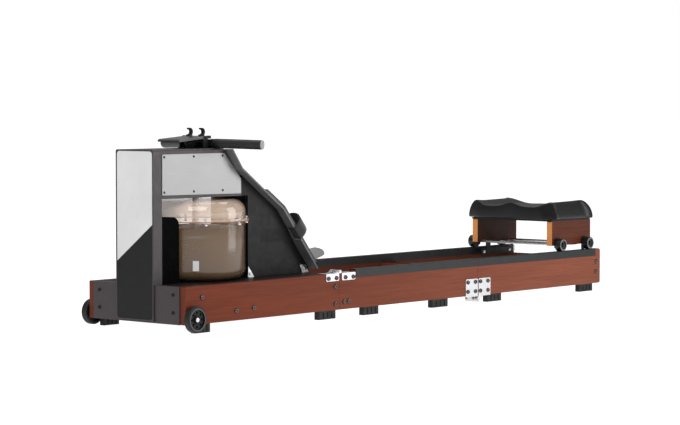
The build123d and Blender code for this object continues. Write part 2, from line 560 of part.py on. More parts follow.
def build_footrest():
    save("bent_foot_plate", strip(FOOT_LINE, -FOOT_PLATE_T, 0, (-FOOT_PLATE_HALF, FOOT_PLATE_HALF)))

    # Each side: full width above the step, then sloping in to a recessed lower face
    under = FOOT_PLATE_T + 1.6
    low_front, low_rear = HEAD_REAR + 1.0, 682.0
    bends = [(x, z) for x, z in offset_line(FOOT_LINE, -FOOT_PLATE_T - 0.2) if low_front < x < low_rear - 10]
    outline = [(SIDE_FRONT, FRONT_TOP), (low_rear, FRONT_TOP),
               (low_rear, foot_height(low_rear) - under * 1.6)]
    outline += bends[::-1] + [(low_front, foot_height(low_front) - under), (low_front, HEAD_BASE),
                              (SIDE_FRONT, HEAD_BASE)]
    side = side_prism(outline, (TOWER_HALF - 12, TOWER_HALF))
    recess = across_prism([(TOWER_HALF + 1, 282), (TOWER_HALF, 281), (TOWER_HALF - 7, 239),
                           (TOWER_HALF - 7, 130),
                           (TOWER_HALF + 1, 130)], (452, 700))
    save("footrest_sides", *pair(side - recess))

    line = [(452.0, foot_height(452.0)), KINK, on_plate(228, 0)]
    pedal = strip(line, 0.0, PEDAL_T, (PEDAL_IN, PEDAL_OUT))
    pedal = fillet(pedal.edges().filter_by(Axis.Y).sort_by(Axis.Z)[-1], 3.0)
    for step in range(9):
        x, z = on_plate(12 + step * 16, PEDAL_T)
        pedal -= rod(x, z, 2.2, (PEDAL_IN + 6, PEDAL_OUT - 6))
    save("footplates", *pair(pedal))

    # Foot straps: from under the plate, round its outer edge, over the foot and down to the middle
    strap_middle, strap_half, strap_t = 100.0, 24.5, 2.6
    y_out, y_in = FOOT_PLATE_HALF + 0.4, PEDAL_IN - 3.2
    y_mid, half_w = (y_out + y_in) / 2, (y_out - y_in) / 2
    rise, height, tuck, under = 12.0, 48.0, 28.0, -FOOT_PLATE_T - 0.4
    band = Ellipse(half_w + strap_t, height + strap_t) - Ellipse(half_w, height)
    band &= Pos(0, height) * Rectangle(3 * half_w, 2 * height)
    band = Pos(0, rise) * band
    side_low = under - strap_t
    band += Pos(half_w + strap_t / 2, (rise + side_low) / 2) * Rectangle(strap_t, rise - side_low)
    band += Pos(-half_w - strap_t / 2, rise / 2 + 0.2) * Rectangle(strap_t, rise - 0.4)
    band += Pos(half_w + strap_t - tuck / 2, under - strap_t / 2) * Rectangle(tuck, strap_t)
    x, z = on_plate(strap_middle - strap_half, 0)
    plane = Plane(origin=(x, y_mid, z), x_dir=(0, 1, 0), z_dir=(DOWN[0], 0, DOWN[1]))
    save("foot_straps", *pair(extrude(plane * band, 2 * strap_half)))

    # Heel cups: a sliding foot and a scoop that the heel stands in
    cup_low, cup_high = PEDAL_T + 0.4, 62.0
    scoop_line = [(182, cup_low), (187, 22), (198, 39), (213, 52), (228, cup_high - 1), (238, cup_high),
                  (245, cup_high - 4), (241, 44), (233, 28), (227, cup_low)]
    scoop = side_prism([on_plate(*p) for p in scoop_line], (28, 94))
    pocket_line = [(170, cup_low + 4), (180, 30), (200, 70), (242, 70), (237, 46), (229, 30),
                   (223, cup_low + 4)]
    scoop -= side_prism([on_plate(*p) for p in pocket_line], (31.5, 90.5))
    slider = side_prism([on_plate(*p) for p in ((158, cup_low), (158, cup_low + 4), (190, cup_low + 4),
                                               (190, cup_low))], (34, 88))
    cup = scoop + slider
    save("heel_cup_left", mirrored(cup))
    save("heel_cup_right", cup)

    # Steel brackets that hold the footrest's sides down to the deck
    tab_t = 2.5
    face = TOWER_HALF - 7
    front_tab = side_prism([(395, FRONT_TOP), (422, FRONT_TOP), (396, 170)], (TOWER_HALF, TOWER_HALF + tab_t))
    rear_tab = side_prism([(652, FRONT_TOP), (680, FRONT_TOP), (668, 161), (640, 161)], (face, face + tab_t))
    head = Rot(-90, 0, 0) * bolt(5.0, 2.6)
    screws = [Pos(403, TOWER_HALF + tab_t, 148) * head, Pos(659, face + tab_t, 149) * head]
    save("footrest_brackets", *[each for piece in (front_tab, rear_tab, *screws) for each in pair(piece)])


# ---------------------------------------------------------------- seat

def build_seat():
    cushion = block((1835, 2080), (-180, 180), (SEAT_PLATE_TOP, 320))
    cushion = fillet(cushion.edges().filter_by(Axis.Z), 38.0)
    cushion = fillet(cushion.faces().sort_by(Axis.Z)[-1].edges(), 16.0)
    save("seat_cushion", cushion)

    board = block((1846, 2078), (SEAT_BOARD_IN, SEAT_BOARD_OUT), (SEAT_BOARD_LOW, SEAT_BOARD_HIGH))
    board = fillet(board.edges().filter_by(Axis.Y), 3.0)
    carriage = block((1842, 2076), (-SEAT_BOARD_OUT, SEAT_BOARD_OUT), (SEAT_BOARD_HIGH, SEAT_PLATE_TOP))
    plates = []
    across = (SEAT_BOARD_OUT, SEAT_BOARD_OUT + 3)
    for x in SEAT_AXLES_X:
        board -= block((x - 7, x + 7), (SEAT_BOARD_IN - 1, SEAT_BOARD_OUT + 1),
                       (SEAT_BOARD_LOW - 1, SEAT_AXLE_Z + 7))
        plate = block((x - 17, x + 17), across, (SEAT_AXLE_Z - 13, SEAT_AXLE_Z + 24))
        plate = fillet(plate.edges().filter_by(Axis.Y), 8.0)
        plates += pair(plate - rod(x, SEAT_AXLE_Z, SEAT_AXLE_R + RUNNING, (across[0] - 1, across[1] + 1)))
    save("seat_side_boards", *pair(board))

    # Keeper bars hang between the rails, from a tie plate at the front and a board at the rear
    tie_t, keeper_y, keeper_z = 3.0, (152, 156), (120, 142)
    tie_z = (SEAT_BOARD_LOW - tie_t, SEAT_BOARD_LOW)
    keeper = block((1872, 2064), keeper_y, keeper_z)
    keeper += block((1902, 1926), keeper_y, (keeper_z[1], tie_z[0]))
    keeper += block((2051, 2064), keeper_y, (keeper_z[1], SEAT_BOARD_LOW))
    save("seat_carriage", carriage, *plates, *pair(keeper))

    ties = [block((x, x + 34), (-keeper_y[1], keeper_y[1]), tie_z) for x in (1900, 1984)]
    nuts = [Pos(x, keeper_y[0], 131) * Rot(90, 0, 0) * bolt(5.5, 4.0) for x in (1888, 2040)]
    save("seat_tie_plates", *ties, *[each for nut in nuts for each in pair(nut)])

    for x, name in zip(SEAT_AXLES_X, ("front", "rear")):
        axle = rod(x, SEAT_AXLE_Z, SEAT_AXLE_R, (-202, 202))
        save(f"seat_axle_{name}", axle)
        roller = rod(x, SEAT_AXLE_Z, SEAT_ROLLER_R, (across[1] + 0.4, 200))
        roller = fillet(roller.edges().filter_by(GeomType.CIRCLE), 1.6)
        roller -= rod(x, SEAT_AXLE_Z, 15.0, (197, 201)) - rod(x, SEAT_AXLE_Z, 8.0, (190, 199.5))
        roller -= rod(x, SEAT_AXLE_Z, SEAT_AXLE_R, (170, 202))
        save(f"seat_rollers_{name}", *pair(roller))


# ---------------------------------------------------------------- transport wheels

def build_wheels():
    width = (WHEEL_IN, WHEEL_OUT)
    tyre = rod(WHEEL_X, WHEEL_Z, WHEEL_R, width)
    tyre = fillet(tyre.edges().filter_by(GeomType.CIRCLE), 3.5)
    tyre -= rod(WHEEL_X, WHEEL_Z, WHEEL_RIM_R, (width[0] - 1, width[1] + 1))
    hub = rod(WHEEL_X, WHEEL_Z, WHEEL_RIM_R, width)
    for span in ((width[0] - 1, width[0] + 3), (width[1] - 4, width[1] + 1)):
        hub -= rod(WHEEL_X, WHEEL_Z, WHEEL_RIM_R - 4, span) - rod(WHEEL_X, WHEEL_Z, 12, span)
    hub -= rod(WHEEL_X, WHEEL_Z, 8.4, (width[1] - 4, width[1] + 1))
    turn = Axis((WHEEL_X, 0, WHEEL_Z), (0, 1, 0))
    for index in range(8):
        spoke_hole = rod(WHEEL_X + 20.5, WHEEL_Z, 3.4, (width[0] - 1, width[1] + 1))
        hub -= spoke_hole.rotate(turn, 45 * index)
    hub -= rod(WHEEL_X, WHEEL_Z, WHEEL_AXLE_R + RUNNING, (width[0] - 1, width[1] + 1))
    axle = rod(WHEEL_X, WHEEL_Z, WHEEL_AXLE_R, (BOARD_IN - 6, width[1] - 3.6))
    axle += rod(WHEEL_X, WHEEL_Z, 6.5, (width[1] - 3.6, width[1] - 0.4))
    axle += rod(WHEEL_X, WHEEL_Z, 9.0, (BOARD_OUT, WHEEL_IN - 0.4))
    axle += rod(WHEEL_X, WHEEL_Z, 8.0, (BOARD_IN - 5, BOARD_IN))
    save("wheel_tyre_right", tyre)
    save("wheel_hub_right", hub)
    save("wheel_tyre_left", mirrored(tyre))
    save("wheel_hub_left", mirrored(hub))
    save("wheel_axles", *pair(axle))


build_boards()
build_tracks()
build_feet()
build_frame_bolts()
build_low_hinges(build_top_hinges())
build_tower()
build_tank()
build_paddle()
build_drive()
build_handle()
build_stand()
build_footrest()
build_seat()
build_wheels()
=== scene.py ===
import json
import math

import bmesh
import bpy
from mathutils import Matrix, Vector


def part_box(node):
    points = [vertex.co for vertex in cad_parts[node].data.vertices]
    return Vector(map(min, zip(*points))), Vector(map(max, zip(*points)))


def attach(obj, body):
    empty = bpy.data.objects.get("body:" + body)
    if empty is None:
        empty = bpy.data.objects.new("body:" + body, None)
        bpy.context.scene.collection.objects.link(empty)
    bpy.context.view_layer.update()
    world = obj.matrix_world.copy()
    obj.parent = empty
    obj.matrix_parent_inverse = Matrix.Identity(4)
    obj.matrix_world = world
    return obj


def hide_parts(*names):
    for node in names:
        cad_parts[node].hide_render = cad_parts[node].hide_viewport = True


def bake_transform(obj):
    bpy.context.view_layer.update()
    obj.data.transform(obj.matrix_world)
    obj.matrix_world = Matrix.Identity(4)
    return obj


# The looks of a folding water rowing machine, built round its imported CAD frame. Metres, in the
# row frame: +X from the water tank towards the seat, +Z up, the rower's right hand at +Y.

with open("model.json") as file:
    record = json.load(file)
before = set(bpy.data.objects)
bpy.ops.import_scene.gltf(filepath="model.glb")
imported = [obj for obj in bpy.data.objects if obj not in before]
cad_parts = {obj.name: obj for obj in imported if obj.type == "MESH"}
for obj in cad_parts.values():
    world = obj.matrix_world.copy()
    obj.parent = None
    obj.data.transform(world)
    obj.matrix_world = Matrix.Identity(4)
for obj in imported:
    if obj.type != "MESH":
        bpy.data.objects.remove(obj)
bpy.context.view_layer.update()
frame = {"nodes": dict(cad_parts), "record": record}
nodes = frame["nodes"]
MM = 0.001


# ---------------------------------------------------------------- material helpers

def linear(red, green, blue):
    """A display colour from 0 to 255 as scene-linear red, green, blue and alpha."""
    def channel(value):
        value /= 255
        return value / 12.92 if value <= 0.04045 else ((value + 0.055) / 1.055) ** 2.4
    return (channel(red), channel(green), channel(blue), 1.0)


# The Mix node's colour sockets, which share their names with its float and vector sockets.
MIX_COLOR_A, MIX_COLOR_B, MIX_COLOR_OUT = 6, 7, 2


class Finish:
    """A Principled material whose colour, roughness and relief come from procedural textures."""

    def __init__(self, name, color, rough, **sockets):
        self.material = bpy.data.materials.new(name)
        self.material.use_nodes = True
        tree = self.material.node_tree
        self.nodes, self.links = tree.nodes, tree.links
        self.shader = self.nodes["Principled BSDF"]
        self.shader.inputs["Base Color"].default_value = color
        self.shader.inputs["Roughness"].default_value = rough
        for socket, value in sockets.items():
            self.shader.inputs[socket.replace("_", " ")].default_value = value
        self.color = color
        self.where = self.nodes.new("ShaderNodeTexCoord")
        self.relief = None

    def join(self, value, socket):
        """Links a socket to the socket, or sets it to a plain value."""
        if isinstance(value, bpy.types.NodeSocket):
            self.links.new(value, socket)
        else:
            socket.default_value = value

    def texture(self, kind, stretch=(1, 1, 1), **inputs):
        """A texture node over the piece's own coordinates, squeezed by stretch on each axis."""
        mapping = self.nodes.new("ShaderNodeMapping")
        mapping.inputs["Scale"].default_value = stretch
        self.links.new(self.where.outputs["Object"], mapping.inputs["Vector"])
        node = self.nodes.new(kind)
        self.links.new(mapping.outputs["Vector"], node.inputs["Vector"])
        for socket, value in inputs.items():
            node.inputs[socket].default_value = value
        return node

    def noise(self, scale, stretch=(1, 1, 1), detail=3.0, rough=0.55):
        """Noise between about 0.3 and 0.7, a larger scale making finer marks."""
        node = self.texture("ShaderNodeTexNoise", stretch, Scale=scale, Detail=detail, Roughness=rough)
        return node.outputs["Fac"]

    def math(self, operation, first, second=0.0):
        node = self.nodes.new("ShaderNodeMath")
        node.operation = operation
        self.join(first, node.inputs[0])
        self.join(second, node.inputs[1])
        return node.outputs[0]

    def spread(self, value, low, high, to_low, to_high):
        """The value moved from the range low to high into the range to_low to to_high."""
        node = self.nodes.new("ShaderNodeMapRange")
        sockets = ("From Min", "From Max", "To Min", "To Max")
        for socket, number in zip(sockets, (low, high, to_low, to_high)):
            node.inputs[socket].default_value = number
        self.links.new(value, node.inputs["Value"])
        return node.outputs["Result"]

    def mix(self, factor, first, second, blend="MIX"):
        """Two colours blended, the second one fully at a factor of 1."""
        node = self.nodes.new("ShaderNodeMix")
        node.data_type, node.blend_type = "RGBA", blend
        self.join(factor, node.inputs["Factor"])
        self.join(first, node.inputs[MIX_COLOR_A])
        self.join(second, node.inputs[MIX_COLOR_B])
        return node.outputs[MIX_COLOR_OUT]

    def axis(self, output, name):
        """The X, Y or Z of one of the texture coordinate outputs."""
        node = self.nodes.new("ShaderNodeSeparateXYZ")
        self.links.new(self.where.outputs[output], node.inputs["Vector"])
        return node.outputs[name]

    def paint(self, color):
        self.links.new(color, self.shader.inputs["Base Color"])

    def gloss(self, value):
        self.links.new(value, self.shader.inputs["Roughness"])

    def bump(self, height, depth, strength=1.0):
        """Adds relief of that depth in metres, on top of any added before."""
        node = self.nodes.new("ShaderNodeBump")
        node.inputs["Distance"].default_value = depth
        node.inputs["Strength"].default_value = strength
        self.links.new(height, node.inputs["Height"])
        if self.relief is not None:
            self.links.new(self.relief, node.inputs["Normal"])
        self.relief = node.outputs["Normal"]
        self.links.new(self.relief, self.shader.inputs["Normal"])
        return self


def tinted(color, factor):
    """The same colour, lighter or darker."""
    return tuple(min(channel * factor, 1.0) for channel in color[:3]) + (1.0,)


def mottled(finish, scale, low=0.86, high=1.12):
    """Gives a finish a faint variation of colour, as handling and moulding leave."""
    cloud = finish.spread(finish.noise(scale), 0.3, 0.7, 0.0, 1.0)
    finish.paint(finish.mix(cloud, tinted(finish.color, low), tinted(finish.color, high)))
    return finish


# ---------------------------------------------------------------- materials

def wood(name, front_dark, front_light, rear_dark, rear_light, ends, inner_face):
    """Stained wood with its grain along X, redder towards the front, and end faces of their own colour: end
    grain, made pale on the seat boards as painted light.

    The boards' inner faces, inner_face metres from the middle, are darkened with painted shade."""
    finish = Finish(name, front_light, 0.46, Specular_IOR_Level=0.12)
    bands = finish.noise(1.0, (1.1, 13, 22), 2, 0.45)
    streaks = finish.noise(1.0, (7, 190, 240), 4, 0.6)
    pores = finish.noise(1.0, (50, 900, 1100), 2, 0.5)
    along = finish.spread(finish.axis("Object", "X"), -0.9, 0.9, 0.0, 1.0)
    dark = finish.mix(along, front_dark, rear_dark)
    light = finish.mix(along, front_light, rear_light)
    body = finish.mix(finish.spread(bands, 0.12, 0.8, 0.0, 1.0), dark, light)
    line = finish.spread(streaks, 0.35, 0.62, 0.84, 1.06)
    pore = finish.spread(pores, 0.3, 0.42, 0.84, 1.0)
    shade = finish.math("MULTIPLY", line, pore)
    tone = finish.nodes.new("ShaderNodeCombineColor")
    for channel in ("Red", "Green", "Blue"):
        finish.links.new(shade, tone.inputs[channel])
    body = finish.mix(1.0, body, tone.outputs["Color"], "MULTIPLY")
    # Painted shade: the boards' inner faces are darkened towards a deep brown, standing in for the shade
    # that falls on them.
    inside = finish.math("ABSOLUTE", finish.axis("Object", "Y"))
    inside = finish.spread(inside, inner_face + 0.0004, inner_face + 0.004, 0.8, 0.0)
    body = finish.mix(inside, body, tinted(front_dark, 0.32))
    # End faces take the ends colour: end grain on the rails, and on the seat boards a pale colour that is
    # painted light on their ends.
    facing = finish.math("ABSOLUTE", finish.axis("Normal", "X"))
    cut = finish.spread(facing, 0.8, 0.95, 0.0, 1.0)
    rings = finish.spread(finish.noise(420, (0.3, 1, 1), 3), 0.3, 0.7, 0.0, 1.0)
    end_grain_and_highlight = finish.mix(rings, tinted(ends, 0.86), tinted(ends, 1.1))
    finish.paint(finish.mix(cut, body, end_grain_and_highlight))
    finish.gloss(finish.spread(streaks, 0.3, 0.7, 0.52, 0.38))
    return finish.bump(shade, 0.0002, 0.5).material


def painted(name, color, rough=0.42, speck=2600, depth=0.00004, **sockets):
    """Powder-coated metal: a fine orange peel over a faintly uneven colour."""
    finish = mottled(Finish(name, color, rough, **sockets), 6, 0.93, 1.06)
    finish.gloss(finish.spread(finish.noise(40), 0.3, 0.7, rough * 0.9, rough * 1.15))
    return finish.bump(finish.noise(speck, detail=2), depth, 0.6).material


def moulded(name, color, rough=0.5, grain=1500, depth=0.00008, **sockets):
    """Moulded plastic or rubber with a fine spark-eroded grain."""
    finish = mottled(Finish(name, color, rough, **sockets), 12, 0.88, 1.12)
    finish.gloss(finish.spread(finish.noise(60), 0.3, 0.7, rough * 0.88, rough * 1.12))
    pits = finish.texture("ShaderNodeTexVoronoi", Scale=grain).outputs["Distance"]
    return finish.bump(pits, depth, 0.5).material


def brushed(name, color, rough, stretch):
    """Metal with fine parallel scratches; stretch is small along the scratches."""
    finish = Finish(name, color, rough, Metallic=1.0, Anisotropic=0.5)
    lines = finish.noise(1.0, stretch, 3, 0.7)
    lit = finish.spread(lines, 0.3, 0.7, 0.0, 1.0)
    finish.paint(finish.mix(lit, tinted(color, 0.86), tinted(color, 1.08)))
    finish.gloss(finish.spread(lines, 0.3, 0.7, rough * 0.8, rough * 1.3))
    return finish.bump(lines, 0.00003, 0.4).material


def plated(name, color, rough=0.16):
    """Bright plated steel with faint smears."""
    finish = Finish(name, color, rough, Metallic=1.0)
    smear = finish.noise(30, (1, 1, 3), 4)
    lit = finish.spread(smear, 0.35, 0.65, 0, 1)
    finish.paint(finish.mix(lit, tinted(color, 0.96), tinted(color, 1.03)))
    finish.gloss(finish.spread(smear, 0.3, 0.7, rough * 0.85, rough * 1.3))
    return finish.bump(finish.noise(900, detail=2), 0.00001, 0.5).material


def woven(name, color, pitch, rough=0.75):
    """Nylon webbing: ribs across the band and threads along it, at that pitch in metres."""
    finish = Finish(name, color, rough, Sheen_Weight=0.35, Sheen_Roughness=0.4)
    turns = 1 / pitch
    ribs = finish.texture("ShaderNodeTexWave", (1, 1, 1), Scale=turns * 0.159, Distortion=0.3)
    ribs.bands_direction = "Y"
    threads = finish.texture("ShaderNodeTexWave", (1, 1, 1), Scale=turns * 0.11, Distortion=0.3)
    threads.bands_direction = "DIAGONAL"
    cloth = finish.math("MULTIPLY", ribs.outputs["Fac"], threads.outputs["Fac"])
    finish.paint(finish.mix(cloth, tinted(color, 0.55), tinted(color, 1.35)))
    return finish.bump(cloth, 0.0003, 0.8).material


def clear(name, color, rough, ior, alpha, **sockets):
    """Tinted clear plastic or liquid, with faint flow marks on its surface."""
    finish = Finish(name, color, rough, IOR=ior, Alpha=alpha, **sockets)
    marks = finish.noise(14, (1, 1, 0.25), 2)
    lit = finish.spread(marks, 0.3, 0.7, 0, 1)
    finish.paint(finish.mix(lit, tinted(color, 0.92), tinted(color, 1.06)))
    finish.gloss(finish.spread(marks, 0.3, 0.7, rough, rough * 1.8))
    return finish.bump(marks, 0.0002, 0.2).material


# Stains from front to rear: dark and light at the front end, then dark and light at the rear end.
WOOD = (linear(96, 40, 18), linear(117, 50, 25), linear(118, 63, 43), linear(137, 76, 55))
SEAT_WOOD = (linear(76, 37, 23), linear(92, 44, 28), linear(80, 38, 23), linear(97, 47, 29))
# Where the boards' inner faces lie, for the painted shade that darkens them.
RAIL_INNER_FACE, SEAT_INNER_FACE = 0.177, 0.150
TANK_COAT = {"Coat_Weight": 1.0, "Coat_IOR": 1.9}
LOOKS = {
    "wood": wood("stained_wood", *WOOD, linear(104, 50, 36), RAIL_INNER_FACE),
    # The seat boards' end colour is pale: painted light standing in for the light falling on their ends.
    "seat_wood": wood("seat_wood", *SEAT_WOOD, linear(214, 142, 84), SEAT_INNER_FACE),
    "brown_paint": painted("grey_brown_paint", linear(50, 42, 44)),
    "white_panel": painted("white_panel", linear(217, 217, 218), 0.3, 1200, 0.00001, Coat_Weight=0.3),
    "dark_panel": painted("dark_panel", linear(12, 13, 13), 0.42, 1200, 0.00001, Specular_IOR_Level=0.25),
    "brushed_steel": brushed("brushed_steel", linear(160, 160, 160), 0.42, (14, 900, 900)),
    "black_steel": painted("black_powder_coat", linear(12, 12, 13), 0.5, Specular_IOR_Level=0.3),
    "black_plastic": moulded("black_plastic", linear(9, 9, 10), 0.5, Specular_IOR_Level=0.25),
    "deep_black": moulded("deep_black", linear(3, 3, 3), 0.8, Specular_IOR_Level=0.05),
    "grey_plastic": moulded("grey_plastic", linear(58, 59, 61), 0.5),
    "tray_plastic": moulded("tray_plastic", linear(70, 71, 73), 0.24),
    "grey_steel": painted("grey_powder_coat", linear(98, 99, 101), 0.5),
    "heel_plastic": moulded("heel_plastic", linear(122, 122, 123), 0.5),
    "tank_clear": clear("tank_plastic", linear(176, 138, 104), 0.05, 1.5, 0.14, **TANK_COAT),
    "tank_cover": clear("tank_cover", linear(246, 218, 194), 0.05, 1.5, 0.34, **TANK_COAT),
    "water": clear("water", linear(86, 75, 61), 0.12, 1.33, 0.95),
    "seal_rubber": moulded("seal_rubber", linear(168, 120, 92), 0.6),
    "bright_steel": plated("bright_steel", linear(206, 206, 208), 0.3),
    "bolt_steel": plated("bolt_steel", linear(92, 86, 84), 0.1),
    "light_metal": brushed("light_metal", linear(188, 188, 190), 0.34, (300, 300, 30)),
    "webbing": woven("webbing", linear(26, 26, 28), 0.0016),
    "foot_rubber": moulded("foot_rubber", linear(12, 12, 13), 0.7, 900, 0.00012),
    "track": painted("track_coat", linear(10, 14, 17), 0.42, Specular_IOR_Level=0.35),
    "cushion": moulded("cushion_skin", linear(10, 11, 13), 0.34, 620, 0.00012, Specular_IOR_Level=0.4),
    "roller_plastic": moulded("roller_plastic", linear(16, 18, 20), 0.36),
    "roller_rim": moulded("roller_rim", linear(112, 114, 118), 0.34),
    "wheel_rim": moulded("wheel_rim", linear(70, 72, 76), 0.34),
    "grip_foam": moulded("grip_foam", linear(14, 14, 15), 0.55, 1900, 0.00015),
    "end_cap": moulded("end_cap", linear(150, 150, 152), 0.38),
    "tyre": moulded("tyre", linear(11, 11, 12), 0.64, 1100, 0.0001),
}
# Nodes that look different from the material of their slot.
LOOK_OF = {"seat_side_boards": "seat_wood", "phone_tray": "tray_plastic", "bent_foot_plate": "grey_steel",
           "tank_upper_shell": "tank_cover", "handle_fittings": "end_cap", "column_housing": "deep_black",
           "front_bolts": "bolt_steel", "mid_bolts": "bolt_steel", "rear_bolts": "bolt_steel"}

SLOT_OF = {part["node"]: part["material_slot"] for part in frame["record"]["subparts"]}


def dress(obj, look):
    obj.data.materials.clear()
    obj.data.materials.append(look)
    return obj


for node_name, node_object in nodes.items():
    dress(node_object, LOOKS[LOOK_OF.get(node_name, SLOT_OF[node_name])])


# ---------------------------------------------------------------- mesh helpers

def piece(name, verts, faces, body, slot_name, replaces=(), levels=0, smooth=True, look=None):
    """A new piece from vertices in millimetres measured in the row frame, riding on a body."""
    mesh = bpy.data.meshes.new(name)
    mesh.from_pydata([(x * MM, y * MM, z * MM) for x, y, z in verts], [], faces)
    mesh.validate()
    bm = bmesh.new()
    bm.from_mesh(mesh)
    bmesh.ops.remove_doubles(bm, verts=bm.verts, dist=1e-6)
    bmesh.ops.recalc_face_normals(bm, faces=bm.faces)
    bm.to_mesh(mesh)
    bm.free()
    for polygon in mesh.polygons:
        polygon.use_smooth = smooth
    obj = bpy.data.objects.new(name, mesh)
    bpy.context.scene.collection.objects.link(obj)
    if levels:
        subdivision = obj.modifiers.new("subdivision", "SUBSURF")
        subdivision.levels = subdivision.render_levels = levels
    dress(obj, LOOKS[look or slot_name])
    if replaces:
        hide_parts(*replaces)
    if body:
        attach(obj, body)
    return obj


def edges_of(node):
    """The node's box in millimetres: low corner and high corner."""
    low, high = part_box(node)
    return Vector(low) / MM, Vector(high) / MM


def ease(value, low, high):
    """0 below low, 1 above high and smooth between."""
    share = min(max((value - low) / (high - low), 0.0), 1.0)
    return share * share * (3 - 2 * share)


# ---------------------------------------------------------------- seat cushion

def build_cushion():
    """A moulded saddle: a hump between the thighs, two hollows and a raised rim at the back."""
    low, high = edges_of("seat_cushion")
    length, half = high.x - low.x, (high.y - low.y) / 2
    crown = high.z
    # how far the top's edge lies inside the base's edge
    rim_in_side, rim_in_rear, rim_in_front = 27.0, 29.0, 4.0
    columns, rows, wall_rows = 28, 20, 7
    corner = 46.0
    base_lift = 0.6

    def top(x, y):
        along = (x - low.x) / length
        away = abs(y)
        front = crown - 21 + 15 * math.exp(-(y / 36) ** 2) + 18 * ease(away, 100, 162)
        middle = crown - 29 + 5 * math.exp(-(y / 40) ** 2) + 26 * ease(away, 92, 160)
        rear = crown - 17 + 17 * ease(away, 60, 158)
        first, last = (1 - along) ** 2, along ** 2
        return front * first + rear * last + middle * (1 - first - last)

    def outline(inset_share, a, b):
        """A plan point for a and b from -1 to 1, on a rounded rectangle pulled in by the share."""
        x0 = low.x + rim_in_front * inset_share
        x1 = high.x - rim_in_rear * inset_share
        y1 = half - rim_in_side * inset_share
        x = x0 + (x1 - x0) * (a + 1) / 2
        y = y1 * b
        dx, dy = max(x0 + corner - x, x - (x1 - corner), 0), max(abs(y) - (y1 - corner), 0)
        if dx > 0 and dy > 0:
            reach = max(dx, dy) / math.hypot(dx, dy)
            x += (dx * reach - dx) * (-1 if x < (x0 + x1) / 2 else 1)
            y += math.copysign(dy * reach - dy, y)
        return x, y

    verts, faces, index = [], [], {}

    def vertex(key, place):
        if key not in index:
            index[key] = len(verts)
            verts.append(place)
        return index[key]

    def spaced(count):
        """Values from -1 to 1, closer together near the ends."""
        even = [2 * i / count - 1 for i in range(count + 1)]
        return [0.35 * math.sin(math.pi / 2 * value) + 0.65 * value for value in even]

    across, along = spaced(columns), spaced(rows)

    def grid(level, inset_share, height):
        return [[vertex((level, i, j), height(*outline(inset_share, a, b)))
                 for j, b in enumerate(across)] for i, a in enumerate(along)]

    upper = grid("top", 1.0, lambda x, y: (x, y, top(x, y)))
    under = grid("base", 0.0, lambda x, y: (x, y, low.z + base_lift))
    for i in range(rows):
        for j in range(columns):
            faces.append((upper[i][j], upper[i][j + 1], upper[i + 1][j + 1], upper[i + 1][j]))
            faces.append((under[i][j], under[i + 1][j], under[i + 1][j + 1], under[i][j + 1]))
    ring = [(i, 0) for i in range(rows)] + [(rows, j) for j in range(columns)]
    ring += [(i, columns) for i in range(rows, 0, -1)] + [(0, j) for j in range(columns, 0, -1)]

    def wall(level, i, j):
        """A vertex on the skirt, level 0 at the rim and wall_rows at the base."""
        if level == 0:
            return upper[i][j]
        if level == wall_rows:
            return under[i][j]
        share = 1 - level / wall_rows
        x, y = outline(share ** 2.1, along[i], across[j])
        rim = top(*outline(1.0, along[i], across[j]))
        return vertex(("wall", level, i, j), (x, y, low.z + (rim - low.z) * (1 - (1 - share) ** 1.25)))

    for level in range(wall_rows):
        for (i0, j0), (i1, j1) in zip(ring, ring[1:] + ring[:1]):
            faces.append((wall(level, i0, j0), wall(level, i1, j1),
                          wall(level + 1, i1, j1), wall(level + 1, i0, j0)))
    cushion = piece("seat_pad", verts, faces, "seat", "cushion", ["seat_cushion"], levels=2)


build_cushion()


# ---------------------------------------------------------------- bands

def band(name, path, across, width, thick, body, slot_name, replaces=(), steps=6):
    """A flat strap along a path of points in millimetres, thinner towards its edges.

    across is the unit direction of the strap's width."""
    across = Vector(across)
    points = [Vector(point) for point in path]
    section = []
    for step in range(steps + 1):
        side = 2 * step / steps - 1
        section.append((side * width / 2, thick / 2 * (1 - 0.45 * abs(side) ** 6)))
    verts, faces = [], []
    loop = len(section) * 2
    for index, point in enumerate(points):
        before, after = points[max(index - 1, 0)], points[min(index + 1, len(points) - 1)]
        normal = across.cross(after - before).normalized()
        for side, half_thick in section:
            verts.append(point + across * side + normal * half_thick)
        for side, half_thick in reversed(section):
            verts.append(point + across * side - normal * half_thick)
    for row in range(len(points) - 1):
        for k in range(loop):
            a, b = row * loop + k, row * loop + (k + 1) % loop
            faces.append((a, b, b + loop, a + loop))
    faces.append(tuple(range(loop)))
    faces.append(tuple(reversed(range((len(points) - 1) * loop, len(points) * loop))))
    return piece(name, [tuple(v) for v in verts], faces, body, slot_name, replaces)


def arc(centre, radius, start, stop, steps, place):
    """Points of an arc in degrees, put in space by place(first, second)."""
    points = []
    for step in range(steps + 1):
        angle = math.radians(start + (stop - start) * step / steps)
        points.append(place(centre[0] + radius * math.cos(angle), centre[1] + radius * math.sin(angle)))
    return points


def build_pull_strap():
    """The handle's webbing: up from the drum, over its roller and out to the handle."""
    low, high = edges_of("pull_strap")
    roller_low, roller_high = edges_of("strap_guide_roller")
    centre = (roller_low + roller_high) / 2
    thick, drop_steps, run_steps = 1.6, 8, 40
    line = high.z - thick / 2 - centre.z

    def place(x, z):
        return (x, 0.0, z)

    drop = [place(centre.x - line, low.z + (centre.z - low.z) * k / drop_steps) for k in range(drop_steps)]
    wrap = arc((centre.x, centre.z), line, 180, 90, 12, place)
    run = [place(centre.x + (high.x - centre.x) * k / run_steps, high.z - thick / 2)
           for k in range(1, run_steps + 1)]
    strap = band("pull_webbing", drop + wrap + run, (0, 1, 0), high.y - low.y, thick, None,
                 "webbing", ["pull_strap"])
    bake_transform(strap)


build_pull_strap()


